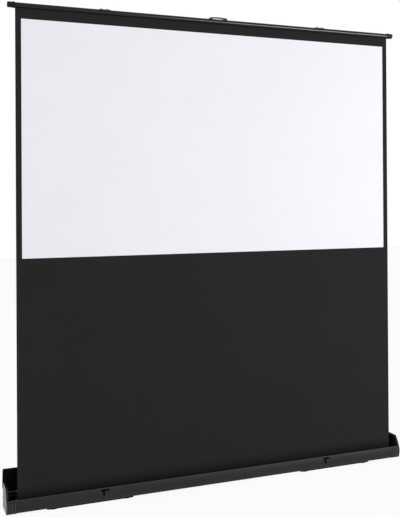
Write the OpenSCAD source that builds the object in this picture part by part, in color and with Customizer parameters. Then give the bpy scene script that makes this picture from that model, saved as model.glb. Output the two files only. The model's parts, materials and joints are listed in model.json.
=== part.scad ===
// Pull-up projection screen: a floor case with a hinged lid, a sprung roller,
// a black cloth with a white viewing surface, and a top bar that two pairs of
// folding arms lift. Shown raised, with the lid open and the feet stowed.
// Heights are measured from the underside of the case, depths from the cloth.

/* [Screen] */
// Width of the white viewing surface
white_w = 1771; // [1200:1:1800]
// Height of the white viewing surface
white_h = 996; // [600:1:1100]
// Width of the black border beside the white surface
side_border = 24.5; // [15:0.5:40]
// Height of the black border between the white surface and the top bar
top_border = 44; // [20:1:90]
// Height of the black cloth from the roller to the white surface
black_drop = 1016; // [600:1:1100]
// Thickness of the black cloth
cloth_t = 0.4; // [0.3:0.05:0.6]
// Thickness of the white coat on the cloth
coat_t = 0.15; // [0.1:0.05:0.3]

/* [Case] */
// Length of the case beyond the top bar at each end
case_over = 13.5; // [12:0.5:40]
// Height of the closed case
case_h = 101.5; // [98:0.5:120]
// Depth from the cloth to the outside of the back wall
back_y = 86; // [84:0.5:100]
// Depth from the cloth to the most forward point of the front wall
front_y = 22; // [21:0.5:30]
// Height of the most forward point of the front wall
belly_z = 33; // [28:1:38]
// Length that sets how fast the front curves back, larger is flatter
front_curve = 150; // [140:5:200]
// Height of the top edge of the front wall
front_wall_h = 54.5; // [50:0.5:58]
// Wall thickness of the case and the lid
wall_t = 1.6; // [1.2:0.1:2]
// Thickness of each end cap's outer plate
cap_plate_t = 3; // [2:0.5:5]
// Length of the end cap's sleeve over the case
cap_sleeve = 38; // [25:1:45]
// Thickness of the end cap's sleeve
cap_sleeve_t = 1.5; // [1:0.1:2]
// Diameter of the end cap screw heads
cap_screw_d = 8; // [6:0.5:10]

/* [Lid] */
// Height of the hinge axis
hinge_z = 54; // [53:0.5:58]
// Angle at which the lid stands open
lid_open = 80; // [75:1:84]
// Diameter of the lid hinge pins
hinge_pin_d = 3; // [2:0.5:4]
// Number of knuckles along the hinge
knuckles = 9; // [5:2:15]

/* [Catches] */
// Distance of the slide catches from the ends of the case
catch_inset = 415; // [300:1:450]
// Length of the slot that a catch slides in
catch_slot_w = 37; // [34:1:50]
// Height of the slot
catch_slot_h = 8; // [7:0.5:9]
// Height of the slot's middle
catch_z = 46; // [44:0.5:47]
// Width of the thumb tab
catch_tab_w = 8; // [7:0.5:11]
// Distance of the thumb tab from the slot's left end
catch_tab_at = 8; // [6:0.5:9]
// Height of the lower end of the thumb tab
catch_tab_z = 23; // [18:1:28]

/* [Feet] */
// Length of one foot
foot_len = 377; // [300:1:420]
// Width of one foot
foot_w = 58; // [40:1:70]
// Height of the case above the floor
foot_h = 11; // [10:0.5:16]
// Radius of the corners of the feet
foot_corner = 8; // [4:1:20]
// Distance of the foot pivots from the ends of the case
foot_inset = 357; // [250:1:500]
// Depth from the cloth to the middle of the feet
foot_y = 24; // [20:1:45]
// Thickness of the rubber pads under the feet
pad_t = 3; // [2:0.5:4]
// Diameter of the foot pivots
foot_pivot_d = 8; // [6:0.5:12]

/* [Roller] */
// Outer diameter of the roller tube
roller_d = 34; // [28:1:34]
// Wall thickness of the roller tube
roller_wall = 1.2; // [1:0.1:2]
// Turns of cloth that stay on the roller when the screen is up
turns_left = 1.5; // [1:0.25:3]
// Height of the roller axis
roller_z = 28; // [27:0.5:30]
// Diameter of the roller journals
journal_d = 8; // [6:0.5:10]
// Length of the roller spring
roller_spring_len = 300; // [200:1:400]

/* [Arms] */
// Distance of the arm pivots from the ends of the case
pivot_inset = 427; // [360:1:450]
// Height of the lower arm pivots
pivot_z = 15; // [14:0.5:17]
// Depth from the cloth to the foremost arm
arm_y = 44; // [44:0.5:50]
// Thickness of each arm
arm_t = 4; // [3:0.5:4]
// Width of each arm
arm_w = 18; // [14:1:18]
// Wall thickness of the arm channel
arm_wall = 1.4; // [1:0.1:1.8]
// Angle of the arms to the floor when the screen is up
raised_deg = 76.3; // [70:0.1:80]
// Gap between the arms that share an elbow
arm_gap = 1; // [0.8:0.1:1.5]
// Gap between the left and the right pair of arms
pair_gap = 3.6; // [3.4:0.1:5]
// Diameter of the arm pivot pins
arm_pin_d = 6; // [5:0.5:7]

/* [Top bar] */
// Outer diameter of the bar
bar_d = 22; // [18:0.5:24]
// Wall thickness of the bar
bar_wall = 1.2; // [1:0.1:2]
// Diameter of the bar's end knobs
knob_d = 26; // [22:0.5:26]
// Length of the bar beyond the cloth at each end
bar_over = 33.5; // [30:0.5:45]
// Drop from the bar's axis to the upper arm pivots
pivot_drop = 5; // [0:0.5:10]
// Length of the saddles that join the arms to the bar
saddle_len = 48; // [40:1:60]
// Thickness of the saddle plate
saddle_t = 2; // [1.5:0.1:3]
// Spacing of the two screws in a saddle
saddle_screws = 26; // [20:1:34]
// Half of the handle's length
handle_half = 43; // [35:1:60]
// Height of the handle above the bar
handle_rise = 8.5; // [7:0.5:14]
// Width of the handle strap
handle_w = 15; // [12:0.5:18]
// Thickness of the handle strap
strap_t = 2; // [1.5:0.1:3]

/* [Hidden] */
$fn = 48;
fit = 0.05;      // radial clearance of a running pin, and of the caps on the case
gap = 0.3;       // clearance between faces that slide past each other
skin = 0.4;      // clearance round pieces that move past others
sides = [-1, 1];
leaf_t = 1.2;    // thickness of a hinge leaf
plate_t = 1.6;   // thickness of the small brackets
tab_out = 2.6;   // reach of the catch tabs in front of the wall
hem_t = 1.4;     // thickness of the folds along the lid's and the front wall's edge
fold_h = 1.9;    // height of the fold on the front wall
foot_plate = 2;  // thickness of the foot's sheet
knob_neck = 11;  // length of the knob's solid end
knob_ring = 12;  // length of the knob's ring, ahead of its groove
slide_len = 78;  // length of the locking plate behind a catch
catch_travel = 18; // travel of a catch
fold = 3;        // size of the slanted fold between the floor and the back wall
bend = 2;        // size of the slanted fold between the floor and the front wall
spring_wire = 1.1; // radius of the roller spring's wire
cap_screw_r = 1.9; // radius of the end cap screws
port_r = 4;      // outer radius of the ports that those screws bite in
port_low = port_r + wall_t - 0.4;
port_back = back_y - port_low;
ports = [[port_low + 9.4 - front_y, port_low], [port_back, port_low], [port_back, hinge_z - 14]];
cloth_w = white_w + 2 * side_border;
bar_len = cloth_w + 2 * bar_over;
knob_len = bar_over - gap;
case_len = bar_len + 2 * case_over;
roller_half = cloth_w / 2 + 3;
case_half = case_len / 2;
shell_half = case_half - cap_plate_t;
catch_x = case_half - catch_inset;
foot_x = case_half - foot_inset;
pivot_x = case_half - pivot_inset;
cloth_back = cloth_t / 2;
turn_pitch = cloth_t + 0.03;
left_r = roller_d / 2 + fit + turns_left * turn_pitch + cloth_t;
roller_y = left_r + cloth_back + gap;
bar_z = roller_z + black_drop + white_h + top_border + bar_d / 2;
white_top = bar_z - bar_d / 2 - top_border;
top_pivot_z = bar_z - pivot_drop;
arm_len = (top_pivot_z - pivot_z) / 2 / sin(raised_deg);
elbow_x = pivot_x - arm_len * cos(raised_deg);
elbow_z = pivot_z + arm_len * sin(raised_deg);
hinge_y = back_y + leaf_t + hinge_pin_d / 2;
knuckle_r = hinge_pin_d / 2 + leaf_t;
back_wall_h = hinge_z - 1;
layer = [arm_y, arm_y + arm_t + arm_gap, arm_y + 2 * arm_t + arm_gap + pair_gap,
         arm_y + 3 * arm_t + 2 * arm_gap + pair_gap];
arms_mid = (layer[0] + layer[3] + arm_t) / 2;

// The outline of the front: depth at height z, and a point set in from it
function front(z) = -front_y + pow(z - belly_z, 2) / front_curve;
function lean(z) = 2 * (z - belly_z) / front_curve;
function inset(z, d) = [front(z) + d / norm([1, lean(z)]), z - d * lean(z) / norm([1, lean(z)])];
function run(z0, z1, d) = [for (i = [0 : 12]) inset(z0 + (z1 - z0) * i / 12, d)];
function corner(cy, cz, r, a0, a1) = [for (i = [0 : 6])
    let (a = a0 + (a1 - a0) * i / 6)
    [cy + r * cos(a), cz + r * sin(a)]];
function backwards(list) = [for (i = [len(list) - 1 : -1 : 0]) list[i]];

// The closed case seen from its end, d inside the outer face, from height z0 up
top_r = 7;
front_top = case_h - top_r;
crown_start = front_top - 4;
crown_turn = 150;
function crown(z0, d) = concat(
    run(z0, crown_start, d),
    corner(front(crown_start) + top_r + 4, front_top - 1, top_r + 1 - d, crown_turn, 90),
    corner(back_y - top_r, front_top, top_r - d, 90, 0));
lid_lip = front_wall_h + gap;

// The frame's depth runs from the front wall to the corner of the open lid
function swung_y(p, a) = hinge_y + (p[0] - hinge_y) * cos(a) + (p[1] - hinge_z) * sin(a);
rear_reach = max([for (p = corner(back_y - top_r, case_h - top_r, top_r, 90, 0)) swung_y(p, lid_open)]);
front_reach = front_y + tab_out;
mid_y = (rear_reach - front_reach) / 2;

module place() {
    translate([0, -mid_y, foot_h])
        children();
}

// Turns an outline drawn in depth and height into a length along the case
module along(x0, x1) {
    translate([x0, 0, 0])
        rotate([90, 0, 90])
            linear_extrude(x1 - x0)
                children();
}

// A round bar along the case, and one from front to back
module rod_x(r, x0, x1, y, z) {
    translate([x0, y, z])
        rotate([0, 90, 0])
            cylinder(r = r, h = x1 - x0);
}

module rod_y(r, x, y0, y1, z) {
    translate([x, y0, z])
        rotate([-90, 0, 0])
            cylinder(r = r, h = y1 - y0);
}

// An open wire spring with its axis along Z, as one swept tube
module coil(r, wire, length, turns, per_turn) {
    steps = turns * per_turn;
    points = [for (i = [0 : steps], j = [0 : 5])
        let (a = 360 * i / per_turn, b = 60 * j)
        [(r + wire * cos(b)) * cos(a), (r + wire * cos(b)) * sin(a), length * i / steps + wire * sin(b)]];
    polyhedron(
        points = points,
        faces = concat(
            [for (i = [0 : steps - 1], j = [0 : 5]) [i * 6 + j, (i + 1) * 6 + j, i * 6 + (j + 1) % 6]],
            [for (i = [0 : steps - 1], j = [0 : 5])
                [(i + 1) * 6 + j, (i + 1) * 6 + (j + 1) % 6, i * 6 + (j + 1) % 6]],
            [[0, 1, 2, 3, 4, 5]],
            [[for (j = [5 : -1 : 0]) steps * 6 + j]]));
}

// Case: front, floor and back panel, with the top edge of the front panel folded inwards
front_seam = 10 - front_y;
back_seam = back_y - fold - wall_t;

function sheet_path(top, d) = concat(
    run(top, 2, d),
    [[front(0) + bend + d, d], [back_y - fold - d, d], [back_y - d, fold + d], [back_y - d, back_wall_h]]);

module sheet_profile() {
    fold_z = front_wall_h - fold_h;
    polygon(concat(
        sheet_path(front_wall_h, 0),
        backwards(sheet_path(fold_z, wall_t)),
        [inset(fold_z, wall_t + hem_t), inset(front_wall_h, wall_t + hem_t)]));
}

module case_panel(y0, y1) {
    along(-shell_half, shell_half)
        intersection() {
            sheet_profile();
            translate([y0, -1])
                square([y1 - y0, case_h]);
        }
}

module case_front() {
    color("#2b2b2d")
        difference() {
            case_panel(-front_y - 1, front_seam);
            for (s = sides)
                translate([s * catch_x - catch_slot_w / 2, -front_y - 5, catch_z - catch_slot_h / 2])
                    cube([catch_slot_w, 12, catch_slot_h]);
        }
}

module case_floor() {
    color("#2b2b2d")
        difference() {
            case_panel(front_seam, back_seam);
            for (s = sides)
                translate([s * foot_x, foot_y, -1])
                    cylinder(d = foot_pivot_d + 2 * fit, h = wall_t + 2);
        }
}

module case_back() {
    color("#2b2b2d")
        case_panel(back_seam, back_y + 1);
}

// Tubes along the inside of the case that the end cap screws bite in
module screw_ports() {
    color("#3a3a3c")
        along(-shell_half, shell_half)
            difference() {
                for (p = ports)
                    translate(p)
                        circle(port_r);
                for (p = ports)
                    translate(p)
                        circle(cap_screw_r);
                sheet_profile();
            }
}

// End caps: a moulded plate with a ribbed sleeve over the case and a spigot under the lid
sleeve_top = hinge_z - 6;
sleeve_back = hinge_z - 16;
spigot_low = 8;
groove_w = 3;

function sleeve_path(d, top) = concat(
    run(top, bend, -d),
    [[front(0) + bend, -d], [back_y - fold, -d], [back_y + d, fold], [back_y + d, top]]);

module cap_sleeve_side() {
    reach = 2 * cap_sleeve_t;
    difference() {
        polygon(sleeve_path(cap_sleeve_t, sleeve_top));
        polygon(sleeve_path(fit, sleeve_top + reach));
        translate([back_y - reach, sleeve_back])
            square([2 * reach, hinge_z]);
    }
}

module cap_groove() {
    difference() {
        translate([-front_y - 4, -fold])
            square([16, hinge_z]);
        polygon(concat(run(hinge_z, 0, -cap_sleeve_t / 2), [[back_y, -1], [back_y, hinge_z]]));
    }
}

module cap_spigot() {
    inside = wall_t + skin;
    difference() {
        polygon(concat(crown(lid_lip + spigot_low, inside), [[back_y - inside, hinge_z + spigot_low]]));
        polygon(concat(
            crown(lid_lip, inside + cap_sleeve_t),
            [[back_y - inside - cap_sleeve_t, hinge_z], [front_y, hinge_z - 4]]));
    }
}

module cap_side() {
    difference() {
        along(0, cap_sleeve + cap_plate_t)
            cap_sleeve_side();
        for (x = [9, 19, 29])
            along(x, x + groove_w)
                cap_groove();
    }
    along(cap_sleeve, cap_sleeve + cap_plate_t)
        polygon(concat(
            crown(1, 0),
            [[back_y, fold], [back_y - fold, 0], [front(0) + bend, 0]]));
    along(cap_sleeve - 6, cap_sleeve)
        cap_spigot();
}

module end_cap(s) {
    color("#1d1d1f")
        difference() {
            scale_side(s)
                translate([case_half - cap_sleeve - cap_plate_t, 0, 0])
                    cap_side();
            cap_screw_places(s)
                cylinder(r = cap_screw_r + fit, h = 2 * cap_sleeve, center = true);
        }
}

module scale_side(s) {
    if (s < 0)
        mirror([1, 0, 0])
            children();
    else
        children();
}

module cap_screw_places(s) {
    for (p = ports)
        translate([s * case_half, p[0], p[1]])
            rotate([0, s * 90, 0])
                children();
}

module end_cap_left() {
    end_cap(-1);
}

module end_cap_right() {
    end_cap(1);
}

module end_cap_screws() {
    color("#8c8c90")
        for (s = sides)
            cap_screw_places(s) {
                translate([0, 0, -22])
                    cylinder(r = cap_screw_r, h = 22);
                difference() {
                    cylinder(d1 = cap_screw_d, d2 = cap_screw_d - 2.4, h = 2.2);
                    translate([0, 0, 1.2])
                        cylinder(r = 1.3, h = 2, $fn = 6);
                }
            }
}

// Lid hinge: two leaves on the outside of the back wall, with knuckles in turn on one long pin
hinge_half = shell_half - 4;
knuckle_len = 2 * hinge_half / knuckles;
neck_h = 8;
leaf_low = hinge_z - 14;
leaf_room = knuckle_r + gap;

module hinge_leaf(first, plate_z, plate_h, neck_z) {
    difference() {
        union() {
            translate([-hinge_half, back_y, plate_z])
                cube([2 * hinge_half, leaf_t, plate_h]);
            for (i = [first : 2 : knuckles - 1]) {
                x = -hinge_half + i * knuckle_len + gap / 2;
                translate([x, back_y, neck_z])
                    cube([knuckle_len - gap, leaf_t, neck_h]);
                rod_x(knuckle_r, x, x + knuckle_len - gap, hinge_y, hinge_z);
            }
        }
        rod_x(hinge_pin_d / 2 + fit, -case_half, case_half, hinge_y, hinge_z);
    }
}

module hinge_leaf_case() {
    color("#3a3a3c")
        hinge_leaf(0, leaf_low, hinge_z - leaf_room - leaf_low, hinge_z - neck_h);
}

module hinge_pin() {
    color("#b4b4b8") {
        rod_x(hinge_pin_d / 2, -hinge_half - 0.1, hinge_half + 0.1, hinge_y, hinge_z);
        for (end = [-hinge_half - 1, hinge_half])
            rod_x(hinge_pin_d / 2 + leaf_t / 2, end, end + 1, hinge_y, hinge_z);
    }
}

// Slide catches: a thumb tab in front of the wall and a locking plate behind it
module catch_slide(x) {
    slot_left = x - catch_slot_w / 2;
    tab_left = slot_left + catch_tab_at;
    tab_top = catch_z + catch_slot_h / 2 - gap;
    stem_low = catch_z - catch_slot_h / 2 + gap;
    inner = wall_t + skin;
    color("#161617") {
        along(tab_left, tab_left + catch_tab_w)
            polygon(concat(
                [for (z = [catch_tab_z : 3 : tab_top]) inset(z, -skin)],
                [for (z = [tab_top : -3 : catch_tab_z]) inset(z, -tab_out)]));
        along(tab_left + gap, tab_left + catch_tab_w - gap)
            polygon([inset(stem_low, -1), inset(tab_top - gap, -1),
                     inset(tab_top - gap, inner + 0.6), inset(stem_low, inner + 0.6)]);
        along(slot_left - catch_travel - 3, slot_left + slide_len - catch_travel - 3)
            polygon([inset(catch_z - 8, inner), inset(catch_z + 6, inner),
                     inset(catch_z + 6, inner + 1.4), inset(catch_z - 8, inner + 1.4)]);
    }
}

module catch_slide_left() {
    catch_slide(-catch_x);
}

module catch_slide_right() {
    catch_slide(catch_x);
}

// Feet: a shallow channel that turns on a pivot under the case, with two rubber pads
module foot_plan(d) {
    straight = [foot_len / 2 - foot_corner, foot_w / 2 - foot_corner];
    square([2 * straight[0], foot_w - 2 * d], center = true);
    square([foot_len - 2 * d, 2 * straight[1]], center = true);
    for (sx = sides, sy = sides)
        translate([sx * straight[0], sy * straight[1]])
            circle(foot_corner - d);
}

module foot_bar(x) {
    color("#262628")
        translate([x, foot_y, -gap - cap_sleeve_t])
            difference() {
                mirror([0, 0, 1])
                    linear_extrude(foot_h - gap - cap_sleeve_t - pad_t)
                        foot_plan(0);
                translate([0, 0, -foot_h])
                    linear_extrude(foot_h - foot_plate)
                        foot_plan(foot_plate);
                translate([0, 0, -foot_h])
                    cylinder(d = foot_pivot_d + 2 * fit, h = 2 * foot_h);
            }
}

module foot_pads(x) {
    color("#0f0f10")
        for (s = sides)
            translate([x + s * (foot_len / 2 - foot_w / 2), foot_y, -foot_h])
                cylinder(d = foot_w - 3 * foot_plate, h = foot_h - gap - cap_sleeve_t - foot_plate);
}

module foot_bar_left() {
    foot_bar(-foot_x);
}

module foot_bar_right() {
    foot_bar(foot_x);
}

module foot_pads_left() {
    foot_pads(-foot_x);
}

module foot_pads_right() {
    foot_pads(foot_x);
}

module foot_pivots() {
    nut_h = 4;
    under = cap_sleeve_t + foot_plate + 2 * gap;
    color("#9a9a9e")
        for (s = sides)
            translate([s * foot_x, foot_y, 0]) {
                translate([0, 0, -under])
                    cylinder(d = foot_pivot_d, h = under + wall_t + nut_h);
                translate([0, 0, -under - foot_plate])
                    cylinder(d = 2 * foot_pivot_d, h = foot_plate);
                translate([0, 0, wall_t])
                    cylinder(d = foot_pivot_d + 6, h = nut_h, $fn = 6);
                translate([0, 0, -cap_sleeve_t])
                    cylinder(d = 2 * foot_pivot_d, h = cap_sleeve_t);
            }
}

// Roller: a tube on a journal at the right and on the spring shaft at the left
journal_end = roller_half + 2 + gap + plate_t + 2;
plug_r = roller_d / 2 - roller_wall - fit;
plug_len = 24;

module ring_x(r_out, r_in, x0, x1, y, z) {
    translate([x0, y, z])
        rotate([0, 90, 0])
            difference() {
                cylinder(r = r_out, h = x1 - x0);
                translate([0, 0, -1])
                    cylinder(r = r_in, h = x1 - x0 + 2);
            }
}

module roller_tube() {
    color("#9fa2a6")
        ring_x(roller_d / 2, roller_d / 2 - roller_wall, -roller_half, roller_half, roller_y, roller_z);
}

module roller_idler_plug() {
    color("#1a1a1a") {
        rod_x(plug_r, roller_half - plug_len, roller_half + 0.1, roller_y, roller_z);
        rod_x(roller_d / 2, roller_half, roller_half + 2, roller_y, roller_z);
        rod_x(journal_d / 2, roller_half + 1, journal_end, roller_y, roller_z);
    }
}

module roller_spring_plug() {
    color("#1a1a1a")
        difference() {
            union() {
                rod_x(plug_r, -roller_half - 0.1, -roller_half + plug_len, roller_y, roller_z);
                rod_x(roller_d / 2, -roller_half - 2, -roller_half, roller_y, roller_z);
            }
            rod_x(journal_d / 2 + fit, -roller_half - 3, -roller_half + plug_len + 1, roller_y, roller_z);
        }
}

turn_steps = 60;
function winding(out) = [for (i = [0 : turn_steps * turns_left])
    let (a = 180 - 360 * i / turn_steps, left = turns_left - i / turn_steps)
    let (r = roller_d / 2 + fit + turn_pitch * left + out)
    [r * cos(a), r * sin(a)]];

module wound_cloth() {
    color("#1b1b1c")
        along(-cloth_w / 2, cloth_w / 2)
            translate([roller_y, roller_z])
                polygon(concat(winding(0), backwards(winding(cloth_t))));
}

// Upright plate with a foot that runs outwards on the floor of the case
module roller_bracket(s) {
    inner = roller_half + 2 + gap;
    color("#6d6f73")
        difference() {
            scale_side(s) {
                along(inner, inner + plate_t) {
                    translate([roller_y - 12, wall_t])
                        square([24, roller_z - wall_t]);
                    translate([roller_y, roller_z])
                        circle(12);
                }
                translate([inner, roller_y - 12, wall_t])
                    cube([22, 24, plate_t]);
            }
            if (s > 0)
                rod_x(journal_d / 2 + fit, inner - 2, inner + plate_t + 2, roller_y, roller_z);
            else
                translate([-inner - plate_t - 2, roller_y - journal_d / 4 - fit,
                           roller_z - journal_d / 2 - fit])
                    cube([plate_t + 4, journal_d / 2 + 2 * fit, journal_d + 2 * fit]);
        }
}

module roller_bracket_left() {
    roller_bracket(-1);
}

module roller_bracket_right() {
    roller_bracket(1);
}

module roller_spring_shaft() {
    flat_end = -roller_half - 2 - gap / 2;
    collar = -roller_half + roller_spring_len;
    color("#8a8c90") {
        rod_x(journal_d / 2, flat_end, collar + 10, roller_y, roller_z);
        intersection() {
            rod_x(journal_d / 2, -journal_end, flat_end + 0.1, roller_y, roller_z);
            translate([-journal_end - 1, roller_y - journal_d / 4, roller_z - journal_d])
                cube([journal_end, journal_d / 2, 2 * journal_d]);
        }
        ring_x(journal_d / 2 + 5, journal_d / 2 - 0.5, collar, collar + 6, roller_y, roller_z);
    }
}

module roller_spring() {
    start = plug_len + spring_wire + gap;
    length = roller_spring_len - start - spring_wire - gap;
    color("#c4c4c8")
        translate([-roller_half + start, roller_y, roller_z])
            rotate([0, 90, 0])
                coil((journal_d + roller_d) / 4 + 0.4, spring_wire, length, 16, 8);
}

// Arms: pressed channels with round ends
module right_pair() {
    translate([0, 2 * arms_mid, 0])
        rotate([0, 0, 180])
            children();
}

module arm_plan(d, length) {
    translate([0, -arm_w / 2 + d])
        square([length, arm_w - 2 * d]);
    for (x = [0, length])
        translate([x, 0])
            circle(arm_w / 2 - d);
}

module arm(x, z, tilt, y, hole_a, hole_b) {
    color("#232325")
        translate([x, y + arm_t, z])
            rotate([0, -tilt, 0])
                rotate([90, 0, 0])
                    difference() {
                        linear_extrude(arm_t)
                            arm_plan(0, arm_len);
                        translate([1.1 * arm_w, 0, -1])
                            linear_extrude(arm_t - arm_wall + 1)
                                arm_plan(arm_wall, arm_len - 2.2 * arm_w);
                        translate([0, 0, -1])
                            cylinder(r = hole_a, h = arm_t + 2);
                        translate([arm_len, 0, -1])
                            cylinder(r = hole_b, h = arm_t + 2);
                    }
}

running = arm_pin_d / 2 + fit;
open_pivot = arm_pin_d / 2 + 7 * fit;

module lower_arm_left() {
    arm(-pivot_x, pivot_z, raised_deg, layer[0], running, running);
}

module lower_arm_right() {
    right_pair()
        lower_arm_left();
}

module upper_arm_left() {
    arm(-elbow_x, elbow_z, 180 - raised_deg, layer[1], running, running);
}

module upper_arm_right() {
    right_pair()
        arm(-elbow_x, elbow_z, 180 - raised_deg, layer[1], running, open_pivot);
}

module pin_y(x, z, y0, y1, head_r, head_t) {
    rod_y(arm_pin_d / 2, x, y0 - 0.1, y1 + 0.1, z);
    rod_y(head_r, x, y0 - head_t, y0, z);
    rod_y(head_r, x, y1, y1 + head_t, z);
}

module elbow_pin_left() {
    color("#b9babd")
        pin_y(-elbow_x, elbow_z, layer[0] - gap, layer[1] + arm_t + gap, arm_pin_d, 1);
}

module elbow_pin_right() {
    right_pair()
        elbow_pin_left();
}

// Base brackets: a U on the floor of the case that holds the pivot pin and its spring
spring_room = 9;
base_front = arm_y - skin - plate_t;
base_back = arm_y + arm_t + spring_room;
ear_r = arm_w / 2 - 0.5;

module ear(x, y, top_z, low_z, half_top, hole) {
    translate([x, y + plate_t, 0])
        rotate([90, 0, 0])
            difference() {
                linear_extrude(plate_t)
                    union() {
                        polygon([[-half_top, top_z], [half_top, top_z], [ear_r, low_z], [-ear_r, low_z]]);
                        translate([0, low_z])
                            circle(ear_r);
                    }
                translate([0, low_z, -1])
                    cylinder(r = hole, h = plate_t + 2);
            }
}

module base_bracket_left() {
    color("#707276") {
        for (y = [base_front, base_back])
            ear(-pivot_x, y, wall_t, pivot_z, saddle_len / 2, arm_pin_d / 2 + fit);
        translate([-pivot_x - saddle_len / 2, base_front, wall_t])
            cube([saddle_len, base_back + plate_t - base_front, plate_t]);
    }
}

module base_bracket_right() {
    right_pair()
        base_bracket_left();
}

module base_pin_left() {
    color("#b9babd")
        pin_y(-pivot_x, pivot_z, base_front, base_back + plate_t, 5, 1.2);
}

module base_pin_right() {
    right_pair()
        base_pin_left();
}

module lift_spring_left() {
    color("#c9c9cd")
        translate([-pivot_x, arm_y + arm_t + 1.7, pivot_z])
            rotate([-90, 0, 0])
                coil(5.2, 0.8, spring_room - 2.9, 4, 20);
}

module lift_spring_right() {
    right_pair()
        lift_spring_left();
}

// Top bar: a slotted tube that holds the hem of the cloth round a rod
hem_rod_r = 3;
hem_r = hem_rod_r + fit + cloth_t;
hem_z = bar_z - bar_d / 2 + bar_wall + hem_r + 0.15;
slot_w = 2 * cloth_t + 2;
hem_low = bar_z - bar_d / 2 - 1;

module bar_tube() {
    color("#202022")
        difference() {
            ring_x(bar_d / 2, bar_d / 2 - bar_wall, -bar_len / 2 + 12, bar_len / 2 - 12, 0, bar_z);
            translate([-bar_len, -slot_w / 2, bar_z - bar_d])
                cube([2 * bar_len, slot_w, bar_d]);
            for (s = sides, x = sides)
                translate([s * pivot_x + x * saddle_screws / 2, 0, bar_z])
                    cylinder(r = 1.6 + fit, h = bar_d);
        }
}

// Knob: a collar, a groove and a domed end, turned about the bar
knob_r = knob_d / 2;
cap_r = knob_r - 0.6;
knob_bore = bar_d / 2 + fit;
groove_r = knob_bore + 0.8;
dome = knob_len - 8;
knob_start = bar_len / 2 - knob_len;
knob_side = [[knob_bore, 0], [cap_r, 0], [knob_r, 0.8], [knob_r, knob_ring],
             [groove_r, knob_ring + 0.5], [groove_r, knob_ring + 3], [cap_r, knob_ring + 3], [cap_r, dome]];
knob_end = [[0, knob_len], [0, knob_len - knob_neck], [knob_bore, knob_len - knob_neck]];
function dome_point(a) = [cap_r * (0.6 + 0.4 * cos(a)), dome + 7 * sin(a)];

module bar_knob(s) {
    color("#131314")
        translate([0, 0, bar_z])
            rotate([0, s * 90, 0])
                translate([0, 0, knob_start])
                    rotate_extrude()
                        polygon(concat(knob_side, [for (a = [15 : 15 : 75]) dome_point(a)], knob_end));
}

module bar_knob_left() {
    bar_knob(-1);
}

module bar_knob_right() {
    bar_knob(1);
}

module hem_rod() {
    color("#d8d8d2")
        rod_x(hem_rod_r, -cloth_w / 2 + 2, cloth_w / 2 - 2, 0, hem_z);
}

module cloth_hem() {
    color("#1b1b1c") {
        ring_x(hem_r, hem_rod_r + fit, -cloth_w / 2, cloth_w / 2, 0, hem_z);
        translate([-cloth_w / 2, -cloth_t, hem_low])
            cube([cloth_w, 2 * cloth_t, hem_z - hem_low - hem_rod_r - fit - 0.05]);
    }
}

// Saddles: a plate over the bar with two ears behind the cloth that hold an upper arm
module saddle(x, arm_front) {
    seat = bar_d / 2 + fit;
    front_ear = arm_front - skin - plate_t;
    back_ear = arm_front + arm_t + skin;
    color("#1c1c1e")
        difference() {
            union() {
                along(x - saddle_len / 2, x + saddle_len / 2)
                    translate([0, bar_z]) {
                        difference() {
                            circle(seat + saddle_t);
                            circle(seat);
                            translate([-bar_d, -2 * bar_d + 3])
                                square(2 * bar_d);
                        }
                        difference() {
                            translate([0, seat])
                                square([back_ear + plate_t, saddle_t]);
                            circle(seat);
                        }
                    }
                for (y = [front_ear, back_ear])
                    ear(x, y, bar_z + seat + 0.1, top_pivot_z, saddle_len / 2, arm_pin_d / 2 + fit);
            }
            for (s = sides)
                translate([x + s * saddle_screws / 2, 0, bar_z])
                    cylinder(r = 1.6 + fit, h = bar_d);
        }
}

module saddle_left() {
    saddle(-pivot_x, layer[1]);
}

module saddle_right() {
    saddle(pivot_x, layer[2]);
}

module saddle_screw_pair(x) {
    seat_top = bar_z + bar_d / 2 + fit + saddle_t;
    color("#5b5c60")
        for (s = sides)
            translate([x + s * saddle_screws / 2, 0, seat_top]) {
                translate([0, 0, -6])
                    cylinder(r = 1.6, h = 6.1);
                difference() {
                    cylinder(r1 = 4, r2 = 2.8, h = 2.4);
                    translate([0, 0, 1.4])
                        cylinder(r = 1.4, h = 2, $fn = 6);
                }
            }
}

module saddle_screws_left() {
    saddle_screw_pair(-pivot_x);
}

module saddle_screws_right() {
    saddle_screw_pair(pivot_x);
}

module top_pin(x, arm_front) {
    color("#b9babd")
        pin_y(x, top_pivot_z, arm_front - skin - plate_t, arm_front + arm_t + skin + plate_t, 5, 1);
}

module top_pin_left() {
    top_pin(-pivot_x, layer[1]);
}

module top_pin_right() {
    top_pin(pivot_x, layer[2]);
}

// Handle: an arched strap between two clips on the bar
clip_len = 12;
bar_top = bar_z + bar_d / 2;

module handle_strap() {
    reach = handle_half - 4;
    function arch(x) = 1.2 + (handle_rise - strap_t - 1.2) * (1 - pow(abs(x) / reach, 3));
    color("#6f7074")
        translate([0, handle_w / 2, bar_top])
            rotate([90, 0, 0])
                linear_extrude(handle_w)
                    polygon(concat(
                        [for (i = [-10 : 10]) [reach * i / 10, arch(reach * i / 10)]],
                        [for (i = [10 : -1 : -10]) [reach * i / 10, arch(reach * i / 10) + strap_t]]));
}

module handle_clips() {
    color("#101011")
        for (s = sides)
            difference() {
                translate([s * (handle_half - clip_len / 2), 0, bar_top - 3])
                    linear_extrude(9)
                        square([clip_len, handle_w + 4], center = true);
                rod_x(bar_d / 2 + fit, -handle_half - 1, handle_half + 1, 0, bar_z);
                translate([0, 0, bar_top + 1.2])
                    cube([2 * (handle_half - 3), handle_w + 2 * skin, 12], center = true);
                translate([s * handle_half, 0, bar_top + 6])
                    rotate([0, s * 40, 0])
                        cube([12, 2 * handle_w, 5], center = true);
            }
}

// Cloth between the roller and the bar, and its white front
module screen_cloth() {
    color("#242425")
        translate([-cloth_w / 2, -cloth_back, roller_z])
            cube([cloth_w, cloth_t, hem_low - roller_z]);
}

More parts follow.
